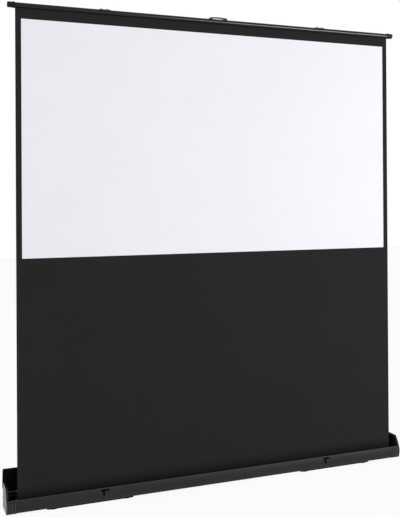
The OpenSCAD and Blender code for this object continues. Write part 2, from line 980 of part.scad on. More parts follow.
module viewing_surface() {
    color("#eeeef2")
        translate([-white_w / 2, -cloth_back - coat_t, white_top - white_h])
            cube([white_w, coat_t, white_h]);
}

// Lid: one folded sheet from the hinge at the back, over the top and down the front
module opened() {
    translate([0, hinge_y, hinge_z])
        rotate([-lid_open, 0, 0])
            translate([0, -hinge_y, -hinge_z])
                children();
}

module lid_shell() {
    color("#28282a")
        opened()
            along(-shell_half + gap, shell_half - gap)
                polygon(concat(
                    crown(lid_lip, 0),
                    [[back_y, hinge_z + 1], [back_y - wall_t, hinge_z + 1]],
                    backwards(crown(lid_lip + 6, wall_t)),
                    [inset(lid_lip + 5, wall_t + hem_t), inset(lid_lip, wall_t + hem_t)]));
}

module hinge_leaf_lid() {
    color("#3a3a3c")
        opened()
            hinge_leaf(1, hinge_z + leaf_room, 16, hinge_z);
}

hook_w = 20;
hook_side = [[18, 0.15], [18, 1.65], [-1, 4.6], [-3, 4.6], [-3, 3], [7, 1.7], [8, 0.15]];

module lid_hooks() {
    color("#76787c")
        opened()
            for (s = sides)
                along(s * catch_x - hook_w / 2, s * catch_x + hook_w / 2)
                    polygon([for (p = hook_side) inset(lid_lip + p[0], wall_t + p[1])]);
}

place() case_front();
place() case_floor();
place() case_back();
place() screw_ports();
place() end_cap_left();
place() end_cap_right();
place() end_cap_screws();
place() hinge_leaf_case();
place() hinge_pin();
place() catch_slide_left();
place() catch_slide_right();
place() foot_pivots();
place() foot_bar_left();
place() foot_pads_left();
place() foot_bar_right();
place() foot_pads_right();
place() roller_tube();
place() roller_idler_plug();
place() roller_spring_plug();
place() wound_cloth();
place() roller_bracket_left();
place() roller_bracket_right();
place() roller_spring_shaft();
place() roller_spring();
place() base_bracket_left();
place() base_bracket_right();
place() base_pin_left();
place() base_pin_right();
place() lift_spring_left();
place() lift_spring_right();
place() lower_arm_left();
place() lower_arm_right();
place() upper_arm_left();
place() upper_arm_right();
place() elbow_pin_left();
place() elbow_pin_right();
place() bar_tube();
place() bar_knob_left();
place() bar_knob_right();
place() hem_rod();
place() cloth_hem();
place() saddle_left();
place() saddle_right();
place() saddle_screws_left();
place() saddle_screws_right();
place() top_pin_left();
place() top_pin_right();
place() handle_strap();
place() handle_clips();
place() screen_cloth();
place() viewing_surface();
place() lid_shell();
place() hinge_leaf_lid();
place() lid_hooks();
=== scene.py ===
import json
import math

import bpy
from mathutils import Matrix, Vector


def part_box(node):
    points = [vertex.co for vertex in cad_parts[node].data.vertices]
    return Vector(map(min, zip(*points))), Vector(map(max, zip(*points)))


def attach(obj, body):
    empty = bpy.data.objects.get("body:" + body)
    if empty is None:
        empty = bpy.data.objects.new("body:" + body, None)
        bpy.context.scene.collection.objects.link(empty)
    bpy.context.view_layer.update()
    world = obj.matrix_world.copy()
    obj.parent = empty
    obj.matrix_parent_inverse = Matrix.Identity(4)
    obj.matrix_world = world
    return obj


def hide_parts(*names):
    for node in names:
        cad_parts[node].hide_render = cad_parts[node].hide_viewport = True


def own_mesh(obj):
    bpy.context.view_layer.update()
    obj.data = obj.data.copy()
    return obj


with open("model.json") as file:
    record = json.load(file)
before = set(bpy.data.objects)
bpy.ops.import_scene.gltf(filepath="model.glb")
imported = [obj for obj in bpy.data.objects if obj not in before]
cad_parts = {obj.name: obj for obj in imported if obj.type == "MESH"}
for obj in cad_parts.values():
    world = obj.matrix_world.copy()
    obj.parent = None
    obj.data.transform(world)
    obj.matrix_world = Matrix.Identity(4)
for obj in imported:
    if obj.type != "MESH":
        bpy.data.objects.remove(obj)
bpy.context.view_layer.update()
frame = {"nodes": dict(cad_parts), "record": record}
mm = 0.001


def deselectAll():
    if bpy.context.object and bpy.context.object.mode != "OBJECT":
        bpy.ops.object.mode_set(mode="OBJECT")
    bpy.ops.object.select_all(action="DESELECT")


def useOnly(obj):
    deselectAll()
    obj.select_set(True)
    bpy.context.view_layer.objects.active = obj


def editAll(obj):
    useOnly(obj)
    bpy.ops.object.mode_set(mode="EDIT")
    bpy.ops.mesh.select_all(action="SELECT")


def facesOut(obj):
    editAll(obj)
    bpy.ops.mesh.normals_make_consistent(inside=False)
    bpy.ops.object.mode_set(mode="OBJECT")


def bakePlace(obj):
    useOnly(obj)
    bpy.ops.object.transform_apply(location=True, rotation=True, scale=True)


def addModifier(obj, kind, **values):
    useOnly(obj)
    mod = obj.modifiers.new(kind.lower(), kind)
    for key, value in values.items():
        setattr(mod, key, value)
    bpy.ops.object.modifier_apply(modifier=mod.name)


def smooth(obj, angle=35):
    useOnly(obj)
    bpy.ops.object.shade_smooth_by_angle(angle=math.radians(angle))


def named(name):
    obj = bpy.context.object
    obj.name = name
    obj.data.name = name
    return obj


def linked(name, data):
    obj = bpy.data.objects.new(name, data)
    bpy.context.scene.collection.objects.link(obj)
    return obj


def fromPoints(name, points, edges, faces):
    mesh = bpy.data.meshes.new(name)
    mesh.from_pydata(points, edges, faces)
    return linked(name, mesh)


def chain(points):
    return [(i, i + 1) for i in range(len(points) - 1)]


def onCircle(y, z, radius, angle):
    return y + radius * math.cos(angle), z + radius * math.sin(angle)


def inRadians(degrees):
    return [math.radians(a) for a in degrees]


cameraPlace = {
    "position": (-1.3875, -3.3451, 1.2930),
    "yaw": 0.37499,          # turn towards +X, radians
    "pitch": 0.00411,
    "roll": -0.00577,
    "focal": 783.4,          # in pixels of the 517 px high frame
    "drop": -61.43,          # how far the optical axis lies from the frame's middle, pixels
    "frameHeight": 517,
    "sensorHeight": 36,
    "farthest": 100,
}


def makeCamera(values):
    yaw, pitch, roll = values["yaw"], values["pitch"], values["roll"]
    ahead = Vector((math.sin(yaw) * math.cos(pitch), math.cos(yaw) * math.cos(pitch), math.sin(pitch)))
    right = Vector((math.cos(yaw), -math.sin(yaw), 0))
    up = right.cross(ahead)
    turnedRight = right * math.cos(roll) + up * math.sin(roll)
    turnedUp = up * math.cos(roll) - right * math.sin(roll)
    cameraData = bpy.data.cameras.new("photoCamera")
    cameraData.sensor_fit = "VERTICAL"
    cameraData.sensor_height = values["sensorHeight"]
    cameraData.lens = values["focal"] / values["frameHeight"] * values["sensorHeight"]
    cameraData.shift_y = values["drop"] / values["frameHeight"]
    cameraData.clip_end = values["farthest"]
    photoCamera = linked("photoCamera", cameraData)
    axes = Matrix((turnedRight, turnedUp, -ahead)).transposed().to_4x4()
    axes.translation = Vector(values["position"])
    photoCamera.matrix_world = axes
    bpy.context.scene.camera = photoCamera


makeCamera(cameraPlace)
print("camera set")


# a colour as a picture shows it, turned into the linear one that a socket takes
def colour(r, g, b):
    parts = [c / 255 for c in (r, g, b)]
    return [c / 12.92 if c < 0.04 else ((c + 0.055) / 1.055) ** 2.4 for c in parts] + [1]


def node(tree, kind, **values):
    new = tree.nodes.new(kind)
    for key, value in values.items():
        setattr(new, key, value)
    return new


def objectPoints(tree, stretch=(1, 1, 1)):
    place = node(tree, "ShaderNodeTexCoord")
    mapping = node(tree, "ShaderNodeMapping")
    mapping.inputs["Scale"].default_value = stretch
    tree.links.new(place.outputs["Object"], mapping.inputs["Vector"])
    return mapping.outputs["Vector"]


def ranged(tree, value, low, high):
    spread = node(tree, "ShaderNodeMapRange")
    spread.inputs["To Min"].default_value = low
    spread.inputs["To Max"].default_value = high
    tree.links.new(value, spread.inputs["Value"])
    return spread.outputs["Result"]


tintSpan = (0.3, 0.7)         # the noise runs from the dark tint to the light one between these


def tinted(tree, value, dark, light):
    ramp = node(tree, "ShaderNodeValToRGB")
    for stop, tint, place in zip(ramp.color_ramp.elements, (dark, light), tintSpan):
        stop.color = tint
        stop.position = place
    tree.links.new(value, ramp.inputs["Fac"])
    return ramp.outputs["Color"]


def noise(tree, points, scale, detail=3, rough=0.5):
    new = node(tree, "ShaderNodeTexNoise")
    new.inputs["Scale"].default_value = scale
    new.inputs["Detail"].default_value = detail
    new.inputs["Roughness"].default_value = rough
    tree.links.new(points, new.inputs["Vector"])
    return new.outputs["Fac"]


def scaledSum(tree, value, factor, added):
    both = node(tree, "ShaderNodeMath", operation="MULTIPLY_ADD")
    both.inputs[1].default_value = factor
    tree.links.new(value, both.inputs[0])
    tree.links.new(added, both.inputs[2])
    return both.outputs["Value"]


def greater(tree, first, second):
    larger = node(tree, "ShaderNodeMath", operation="MAXIMUM")
    tree.links.new(first, larger.inputs[0])
    tree.links.new(second, larger.inputs[1])
    return larger.outputs["Value"]


def bumped(tree, shader, height, distance):
    bump = node(tree, "ShaderNodeBump")
    bump.inputs["Distance"].default_value = distance
    tree.links.new(height, bump.inputs["Height"])
    tree.links.new(bump.outputs["Normal"], shader.inputs["Normal"])


def newFinish(name, metallic=0, specular=0.5):
    finish = bpy.data.materials.new(name)
    finish.use_nodes = True
    shader = finish.node_tree.nodes["Principled BSDF"]
    shader.inputs["Metallic"].default_value = metallic
    shader.inputs["Specular IOR Level"].default_value = specular
    return finish, finish.node_tree, shader


# painted shade below a height: darker on the cloth low in the trough, where little light comes in, and on the
# front wall's lower edge, which turns under away from the light
def shadedBelow(tree, tint, low, high, least):
    height = node(tree, "ShaderNodeSeparateXYZ")
    tree.links.new(objectPoints(tree), height.inputs["Vector"])
    fade = node(tree, "ShaderNodeMapRange", interpolation_type="SMOOTHSTEP")
    fade.inputs["From Min"].default_value = low
    fade.inputs["From Max"].default_value = high
    fade.inputs["To Min"].default_value = least
    tree.links.new(height.outputs["Z"], fade.inputs["Value"])
    darker = node(tree, "ShaderNodeMix", data_type="RGBA", blend_type="MULTIPLY")
    darker.inputs["Factor"].default_value = 1
    tree.links.new(tint, darker.inputs["A"])
    tree.links.new(fade.outputs["Result"], darker.inputs["B"])
    return darker.outputs["Result"]


grainValues = {
    "cloudScale": 9,
    "cloudDetail": 5,
    "cloudRough": 0.6,
    "grainShare": 0.35,       # how much of the gloss follows the fine grain
    "cloudLow": 0.2,
    "cloudHigh": 0.45,
}


# a fine grain for gloss and bump, with a slow cloud of handling marks over it
def grainFinish(name, dark, light, grain, depth, roughLow, roughHigh, stretch=(1, 1, 1), shade=None,
                **values):
    finish, tree, shader = newFinish(name, **values)
    fine = noise(tree, objectPoints(tree, stretch), grain)
    slow = noise(tree, objectPoints(tree), grainValues["cloudScale"], detail=grainValues["cloudDetail"],
                 rough=grainValues["cloudRough"])
    tint = tinted(tree, slow, dark, light)
    if shade:
        tint = shadedBelow(tree, tint, *shade)
    tree.links.new(tint, shader.inputs["Base Color"])
    cloud = ranged(tree, slow, grainValues["cloudLow"], grainValues["cloudHigh"])
    mixed = scaledSum(tree, fine, grainValues["grainShare"], cloud)
    tree.links.new(ranged(tree, mixed, roughLow, roughHigh), shader.inputs["Roughness"])
    bumped(tree, shader, fine, depth)
    return finish


weaveValues = {
    "bandsPerTurn": 20,       # the wave node's bands repeat every 2 pi / 20 at scale 1
    "wander": 0.4,
    "threadDetail": 1,
    "cloudScale": 4,
    "cloudDetail": 4,
    "threadShare": 0.3,       # how much of the tint follows the threads
    "cloudLow": 0.15,
    "cloudHigh": 0.55,
    "roughSpread": 0.04,
}


# plain weave: two crossed sets of threads, with a slow unevenness
def weaveFinish(name, dark, light, pitch, depth, rough, shade=None, **values):
    finish, tree, shader = newFinish(name, **values)
    points = objectPoints(tree)
    threads = []
    for axis in "XZ":
        wave = node(tree, "ShaderNodeTexWave", wave_type="BANDS", bands_direction=axis)
        wave.inputs["Scale"].default_value = 2 * math.pi / weaveValues["bandsPerTurn"] / pitch
        wave.inputs["Distortion"].default_value = weaveValues["wander"]
        wave.inputs["Detail"].default_value = weaveValues["threadDetail"]
        tree.links.new(points, wave.inputs["Vector"])
        threads.append(wave.outputs["Fac"])
    crossed = greater(tree, *threads)
    slow = noise(tree, points, weaveValues["cloudScale"], detail=weaveValues["cloudDetail"])
    cloud = ranged(tree, slow, weaveValues["cloudLow"], weaveValues["cloudHigh"])
    cloth = tinted(tree, scaledSum(tree, crossed, weaveValues["threadShare"], cloud), dark, light)
    if shade:
        cloth = shadedBelow(tree, cloth, *shade)
    tree.links.new(cloth, shader.inputs["Base Color"])
    spread = weaveValues["roughSpread"]
    tree.links.new(ranged(tree, slow, rough - spread, rough + spread), shader.inputs["Roughness"])
    bumped(tree, shader, crossed, depth)
    return finish


# a grain finish: dark and light tint, grains per metre, their depth, least and greatest roughness
# a weave finish: dark and light tint, thread pitch, depth, roughness
finishes = {
    # its shade is painted shade: the front wall's lower edge, where it turns under, is darkened in colour
    "case_black": grainFinish("caseBlack", colour(24, 24, 26), colour(32, 32, 34), 1100, 0.00003, 0.42, 0.56,
                              stretch=(0.03, 1, 1), shade=(0.0112, 0.0148, 0.1), specular=0.24),
    # the rolled top edge of the front wall: glossy through its roughness, and its lighter tint is a painted
    # highlight
    "edge_gloss": grainFinish("edgeGloss", colour(58, 58, 61), colour(70, 70, 73), 1100, 0.00001, 0.18, 0.3,
                              stretch=(0.03, 1, 1), specular=0.7),
    "lid_black": grainFinish("lidBlack", colour(6, 6, 7), colour(11, 11, 12), 1400, 0.00004, 0.5, 0.62,
                             specular=0.12),
    "cap_plastic": grainFinish("capPlastic", colour(33, 33, 35), colour(39, 39, 41), 2200, 0.00002, 0.22,
                               0.34, specular=0.16),
    # the end caps' ribs are tinted lighter than the cap: a painted highlight on their crests
    "rib_worn": grainFinish("ribWorn", colour(54, 54, 56), colour(66, 66, 68), 1600, 0.00002, 0.24, 0.36,
                            specular=0.3),
    # near black as painted shade: the catch slides, seen through the slots in the front wall, read as dark as
    # the shade inside the slots
    "catch_plastic": grainFinish("catchPlastic", colour(2, 2, 2), colour(5, 5, 6), 1800, 0.00003, 0.7, 0.85,
                                 specular=0.05),
    "arm_paint": grainFinish("armPaint", colour(28, 28, 31), colour(36, 36, 39), 900, 0.00005, 0.36, 0.5),
    # near black as painted shade: the feet stand for the dark shadow line under the case
    "foot_paint": grainFinish("footPaint", colour(4, 4, 5), colour(8, 8, 9), 900, 0.00005, 0.55, 0.7,
                              specular=0.08),
    "rubber_pad": grainFinish("rubberPad", colour(20, 20, 20), colour(28, 28, 28), 700, 0.00008, 0.75, 0.9),
    "zinc": grainFinish("zincPlate", colour(158, 160, 166), colour(186, 188, 192), 260, 0.00003, 0.26, 0.42,
                        metallic=1),
    "spring_steel": grainFinish("springSteel", colour(168, 168, 172), colour(196, 196, 200), 1200, 0.00002,
                                0.22, 0.36, metallic=1),
    "roller_metal": grainFinish("rollerMetal", colour(186, 188, 192), colour(204, 206, 210), 900, 0.00002,
                                0.3, 0.44, stretch=(0.05, 1, 1), metallic=1),
    "bar_black": grainFinish("barBlack", colour(9, 9, 10), colour(13, 13, 14), 1500, 0.00001, 0.17, 0.24,
                             stretch=(0.04, 1, 1), specular=0.26),
    "knob_plastic": grainFinish("knobPlastic", colour(6, 6, 7), colour(9, 9, 10), 1800, 0.00002, 0.2, 0.28,
                                specular=0.2),
    "screw_black": grainFinish("screwBlack", colour(16, 16, 17), colour(24, 24, 25), 700, 0.00003, 0.34, 0.5,
                               specular=0.3),
    "rod_white": grainFinish("rodWhite", colour(214, 214, 208), colour(226, 226, 220), 600, 0.00002, 0.4,
                             0.5),
    # its shade is painted shade on the cloth low in the trough, just above the front wall
    "cloth_black": weaveFinish("clothBlack", colour(36, 34, 34), colour(41, 39, 39), 0.0006, 0.00006, 0.9,
                               shade=(0.052, 0.125, 0.4), specular=0.1),
    "cloth_white": weaveFinish("clothWhite", colour(244, 244, 247), colour(248, 248, 251), 0.0006, 0.00002,
                               0.92, specular=0.1),
    "strap_grey": grainFinish("strapGrey", colour(62, 63, 66), colour(76, 77, 80), 1500, 0.00004, 0.32, 0.46,
                              specular=0.35),
    "clip_black": grainFinish("clipBlack", colour(16, 16, 18), colour(21, 21, 23), 1800, 0.00002, 0.28, 0.4),
    "washer_nylon": grainFinish("washerNylon", colour(206, 204, 196), colour(220, 218, 210), 900, 0.00002,
                                0.36, 0.46),
}

# pieces that are painted together with what they join
paintedOver = {
    "hinge_pin": "case_black",
    "hinge_leaf_case": "case_black",
    "hinge_leaf_lid": "lid_black",
    "saddle_left": "bar_black",
    "saddle_right": "bar_black",
}

slotOf = {part["node"]: part["material_slot"] for part in frame["record"]["subparts"]}
bodyOf = {name: body for body, names in frame["record"]["behaviour"]["bodies"].items() for name in names}

for nodeName, slotName in slotOf.items():
    solid = frame["nodes"].get(nodeName)
    if solid:
        solid.data.materials.clear()
        solid.data.materials.append(finishes[paintedOver.get(nodeName, slotName)])
        smooth(solid, 30)
print("CAD nodes finished")


def finishPiece(obj, slotName, body, finish=None):
    obj.data.materials.clear()
    obj.data.materials.append(finishes[finish or slotName])
    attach(obj, body)


# width in mm of each solid's rounded edges, as a real sheet, casting or moulding has them
softEdges = {
    "case_front": 0.1,        # its slots end close to a bend of the wall
    "case_floor": 0.3,
    "case_back": 0.35,
    "lid_shell": 0.35,
    "end_cap_left": 0.6,
    "end_cap_right": 0.6,
    "catch_slide_left": 0.5,
    "catch_slide_right": 0.5,
    "foot_bar_left": 0.7,
    "foot_bar_right": 0.7,
    "saddle_left": 0.4,
    "saddle_right": 0.4,
    "handle_clips": 0.7,
    "roller_bracket_left": 0.3,
    "roller_bracket_right": 0.3,
    "base_bracket_left": 0.3,
    "base_bracket_right": 0.3,
    "lower_arm_left": 0.35,
    "lower_arm_right": 0.35,
    "upper_arm_left": 0.35,
    "upper_arm_right": 0.35,
}
softValues = {
    "mergeWithin": 0.000005,
    "flatAngle": 0.5,         # faces that meet at less become one, degrees
    "sharpAngle": 35,
    "segments": 2,
}


def softened(nodeName, width, values):
    deselectAll()
    mesh = frame["nodes"][nodeName].data.copy()
    words = nodeName.split("_")
    mesh.name = words[0] + "".join(word.capitalize() for word in words[1:])
    solid = linked(mesh.name, mesh)
    editAll(solid)
    bpy.ops.mesh.remove_doubles(threshold=values["mergeWithin"])
    bpy.ops.mesh.dissolve_limited(angle_limit=math.radians(values["flatAngle"]))
    bpy.ops.object.mode_set(mode="OBJECT")
    addModifier(solid, "BEVEL", width=width * mm, segments=values["segments"], limit_method="ANGLE",
                angle_limit=math.radians(values["sharpAngle"]))
    smooth(solid)
    addModifier(solid, "WEIGHTED_NORMAL", keep_sharp=True)      # keeps the shading of flat faces even
    finishPiece(solid, slotOf[nodeName], bodyOf[nodeName], paintedOver.get(nodeName))
    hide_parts(nodeName)


for nodeName, width in softEdges.items():
    softened(nodeName, width, softValues)
print("edges softened")


clothValues = {
    "cutsAcross": 60,
    "cutsUp": 70,
    "thickness": 0.4 * mm,
    "ripple": 0.35 * mm,      # slow unevenness of a cloth under tension
    "waves": ((1, 7.3, 1.9), (0.5, 16.1, -4.2)),      # share, and radians per metre across and up
    "whiteThickness": 0.2 * mm,
    "whiteStandsOff": 0.3 * mm,
}


def flatSheet(name, low, high, y, cutsAcross, cutsUp):
    deselectAll()
    middle = ((low[0] + high[0]) / 2, y, (low[2] + high[2]) / 2)
    bpy.ops.mesh.primitive_grid_add(x_subdivisions=cutsAcross, y_subdivisions=cutsUp, size=1,
                                    location=middle, rotation=(math.pi / 2, 0, 0))
    sheet = named(name)
    sheet.scale = (high[0] - low[0], high[2] - low[2], 1)
    bakePlace(sheet)
    return sheet


# the cloth hangs a little uneven between the roller and the bar, and stays straight at both
def rippled(sheet, values, low, high):
    for vertex in sheet.data.vertices:
        x, z = vertex.co.x, vertex.co.z
        up = (z - low[2]) / (high[2] - low[2])
        calm = math.sin(math.pi * up)
        swing = sum(share * math.sin(x * across + z * upwards) for share, across, upwards in values["waves"])
        vertex.co.y += values["ripple"] * calm * swing


def makeCloth(values):
    low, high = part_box("screen_cloth")
    y = (low[1] + high[1]) / 2
    cloth = flatSheet("blackCloth", low, high, y, values["cutsAcross"], values["cutsUp"])
    rippled(cloth, values, low, high)
    addModifier(cloth, "SOLIDIFY", thickness=values["thickness"], offset=0)
    smooth(cloth)
    finishPiece(cloth, "cloth_black", "case")
    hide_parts("screen_cloth")
    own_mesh(cloth)

    whiteLow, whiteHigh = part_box("viewing_surface")
    whiteY = y - values["thickness"] / 2 - values["whiteStandsOff"]
    front = flatSheet("whiteFront", whiteLow, whiteHigh, whiteY, values["cutsAcross"], values["cutsUp"] // 2)
    rippled(front, values, low, high)
    addModifier(front, "SOLIDIFY", thickness=values["whiteThickness"], offset=0)
    smooth(front)
    finishPiece(front, "cloth_white", "case")
    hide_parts("viewing_surface")
    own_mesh(front)


makeCloth(clothValues)
print("cloth made")


# points of depth and height, drawn out along the case: a closed outline makes a solid bar
def drawnAlong(name, points, x0, x1, closed=False):
    faces = [list(range(len(points)))] if closed else []
    drawn = fromPoints(name, [(x0, y, z) for y, z in points], [] if closed else chain(points), faces)
    editAll(drawn)
    bpy.ops.mesh.extrude_region_move(TRANSFORM_OT_translate={"value": (x1 - x0, 0, 0)})
    facesOut(drawn)
    return drawn


windingValues = {
    "turns": 1.5,
    "stepsPerTurn": 48,
    "thickness": 0.4 * mm,
    "pitch": 0.43 * mm,
    "standsOff": 0.05 * mm,   # the winding starts this far outside the tube
}


def makeWinding(values):
    low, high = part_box("wound_cloth")
    tubeLow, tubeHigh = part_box("roller_tube")
    cy = (tubeLow[1] + tubeHigh[1]) / 2
    cz = (tubeLow[2] + tubeHigh[2]) / 2
    radius = (tubeHigh[2] - tubeLow[2]) / 2 + values["standsOff"] + values["thickness"] / 2
    points = []
    for i in range(int(values["turns"] * values["stepsPerTurn"]) + 1):
        turn = i / values["stepsPerTurn"]
        r = radius + values["pitch"] * (values["turns"] - turn)
        points.append(onCircle(cy, cz, r, math.pi - 2 * math.pi * turn))
    winding = drawnAlong("woundCloth", points, low[0], high[0])
    addModifier(winding, "SOLIDIFY", thickness=values["thickness"], offset=0)
    smooth(winding)
    finishPiece(winding, "cloth_black", "roller")
    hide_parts("wound_cloth")


hemValues = {
    "steps": 32,
    "from": -95,              # where the loop round the rod starts, degrees
    "sweep": 350,
    "standsOff": 0.3 * mm,
    "legsApart": 0.25 * mm,   # from the cloth's middle to each of the two legs
    "thickness": 0.4 * mm,
}


def makeHem(values):
    low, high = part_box("cloth_hem")
    rodLow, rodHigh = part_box("hem_rod")
    cz = (rodLow[2] + rodHigh[2]) / 2
    radius = (rodHigh[2] - rodLow[2]) / 2 + values["standsOff"]
    middle = (low[1] + high[1]) / 2
    points = [(middle - values["legsApart"], low[2])]
    for i in range(values["steps"] + 1):
        a = math.radians(values["from"] - values["sweep"] * i / values["steps"])
        points.append(onCircle(middle, cz, radius, a))
    points.append((middle + values["legsApart"], low[2]))
    hem = drawnAlong("clothHem", points, low[0], high[0])
    addModifier(hem, "SOLIDIFY", thickness=values["thickness"], offset=0)
    smooth(hem)
    finishPiece(hem, "cloth_black", "top_bar")
    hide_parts("cloth_hem")


makeWinding(windingValues)
makeHem(hemValues)
print("winding and hem made")


poleMerge = 0.000002          # closes the poles and the seam of what is turned


# an outline of (radius, height) points turned round an upright axis
def turned(name, outline, steps):
    solid = fromPoints(name, [(r, 0, h) for r, h in outline], chain(outline), [])
    editAll(solid)
    bpy.ops.mesh.spin(steps=steps, angle=2 * math.pi, center=(0, 0, 0), axis=(0, 0, 1))
    bpy.ops.mesh.select_all(action="SELECT")
    bpy.ops.mesh.remove_doubles(threshold=poleMerge)
    facesOut(solid)
    smooth(solid)
    return solid


def joined(parts, name):
    deselectAll()
    for part in parts:
        part.select_set(True)
    bpy.context.view_layer.objects.active = parts[0]
    bpy.ops.object.join()
    return named(name)


# a piece that repeats is modelled once at the origin, and copies of it are set in place
def copiesOf(piece, places):
    copies = []
    for place in places:
        twin = linked(piece.name, piece.data.copy())
        twin.matrix_world = place
        bakePlace(twin)
        copies.append(twin)
    bpy.data.objects.remove(piece)
    return copies


def movedTo(x, y, z):
    return Matrix.Translation((x, y, z))


laidBack = Matrix.Rotation(-math.pi / 2, 4, "X")      # what stood up now points backwards


caseValues = {
    "bellyHeight": 44 * mm,   # row height of the most forward line of the front
    "curve": 150 * mm,        # the front falls back by the square of the height off that line, over this
    "edgeRound": 1.5 * mm,    # the rolled edge along the top of the front wall
    "edgeOver": 0.15 * mm,    # how far it stands out of the wall's own edge
    "edgeDrop": 1 * mm,
    "edgeInset": 0.5 * mm,
    "edgeArc": range(-60, 241, 20),
    "edgeSmooth": 40,
    "ribWidth": 4 * mm,
    "ribHeight": 0.9 * mm,
    "ribPlaces": (3, 15.5, 25.5, 35.5),   # from the inner end of the cap's sleeve, mm
    "ribFoot": 12.5 * mm,     # row height of the ribs' lower ends
    "ribLength": 45 * mm,
    "ribBed": 0.3 * mm,       # how deep a rib's edge lies in the sleeve
    "ribWall": 0.2 * mm,
    "ribEnds": 8,             # how steeply a rib rises from its ends
    "ribCuts": (8, 20),
    "ribSmooth": 60,
    "sleeveSkin": 1.5 * mm,
}


def frontDepth(z):
    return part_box("case_front")[0][1] + (z - caseValues["bellyHeight"]) ** 2 / caseValues["curve"]


def makeFrontEdge(values):
    low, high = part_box("case_front")
    y = frontDepth(high[2]) + values["edgeRound"]
    z = high[2] - values["edgeDrop"]
    r = values["edgeRound"] + values["edgeOver"]
    outline = [(y - r * math.cos(a), z + r * math.sin(a)) for a in inRadians(values["edgeArc"])]
    edge = drawnAlong("frontEdge", outline, low[0] + values["edgeInset"], high[0] - values["edgeInset"],
                      closed=True)
    smooth(edge, values["edgeSmooth"])
    # the edge's lighter tint is a painted highlight along the top of the front wall
    finishPiece(edge, "case_black", "case", "edge_gloss")


# one rib, in the curve of the front and in the middle of the case's length
def makeRib(values):
    deselectAll()
    across, up = values["ribCuts"]
    bpy.ops.mesh.primitive_grid_add(x_subdivisions=across, y_subdivisions=up, size=1)
    rib = named("rib")
    for vertex in rib.data.vertices:
        u, v = vertex.co.x * 2, vertex.co.y * 2
        z = values["ribFoot"] + values["ribLength"] * (v + 1) / 2
        bed = frontDepth(z) - values["sleeveSkin"] + values["ribBed"]
        swell = math.sqrt(max(0, 1 - u * u)) * min(1, (1 - abs(v)) * values["ribEnds"])
        vertex.co = (values["ribWidth"] / 2 * u, bed - swell * (values["ribHeight"] + values["ribBed"]), z)
    return rib


def makeCapRibs(values):
    for side, nodeName in ((-1, "end_cap_left"), (1, "end_cap_right")):
        low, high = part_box(nodeName)
        inner = high[0] if side < 0 else low[0]
        ribs = copiesOf(makeRib(values), [movedTo(inner + side * (place * mm + values["ribWidth"] / 2), 0, 0)
                                          for place in values["ribPlaces"]])
        piece = joined(ribs, "capRibsLeft" if side < 0 else "capRibsRight")
        facesOut(piece)
        addModifier(piece, "SOLIDIFY", thickness=values["ribWall"], offset=-1)
        smooth(piece, values["ribSmooth"])
        # the ribs' lighter tint is a painted highlight
        finishPiece(piece, "cap_plastic", "case", "rib_worn")


makeFrontEdge(caseValues)
makeCapRibs(caseValues)
print("front edge and cap ribs made")


gripValues = {
    "tabPlace": 33 * mm,      # middle of the thumb tab, from the slide's left end
    "tabProud": 2.6 * mm,     # how far the tab stands out of the wall
    "ribs": 6,
    "ribWidth": 6.4 * mm,
    "ribRound": 0.45 * mm,
    "ribBed": 0.3 * mm,
    "ribArc": range(0, 181, 30),
    "first": 37.5 * mm,       # row height of the lowest rib
    "spacing": 2.6 * mm,
    "smoothTo": 40,
}


def makeThumbGrips(values):
    r, bed, half = values["ribRound"], values["ribBed"], values["ribWidth"] / 2
    outline = [(-r * math.sin(a), r * math.cos(a)) for a in inRadians(values["ribArc"])]
    outline += [(bed, -r), (bed, r)]
    heights = [values["first"] + i * values["spacing"] for i in range(values["ribs"])]
    for side in ("left", "right"):
        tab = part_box("catch_slide_" + side)[0][0] + values["tabPlace"]
        rib = drawnAlong("gripRib", outline, -half, half, closed=True)
        ribs = copiesOf(rib, [movedTo(tab, frontDepth(z) - values["tabProud"], z) for z in heights])
        grip = joined(ribs, "thumbGrip" + side.capitalize())
        smooth(grip, values["smoothTo"])
        finishPiece(grip, "catch_plastic", "catch_" + side)


makeThumbGrips(gripValues)
print("thumb grips made")


strapValues = {
    "reach": 39 * mm,         # half the length
    "low": 1.11 * mm,         # underside of the ends over the top of the bar's tube
    "rise": 8.5 * mm,         # top of the middle over the same
    "thickness": 4.2 * mm,
    "width": 15 * mm,
    "arch": 2.4,              # how flat the middle is: 2 is a parabola
    "topRoom": 0.35 * mm,     # room for the bead and ribs on top
    "edgeBead": 0.35 * mm,
    "beadFrom": 0.8,          # the bead starts at this share of the half width
    "gripRibs": 13,
    "ribHeight": 0.25 * mm,
    "ribReach": 0.55,         # the ribs fill this share of the half length
    "edgeRound": 0.3 * mm,
    "cutsAlong": 96,
    "cutsAcross": 14,
    "sharpAngle": 50,
}


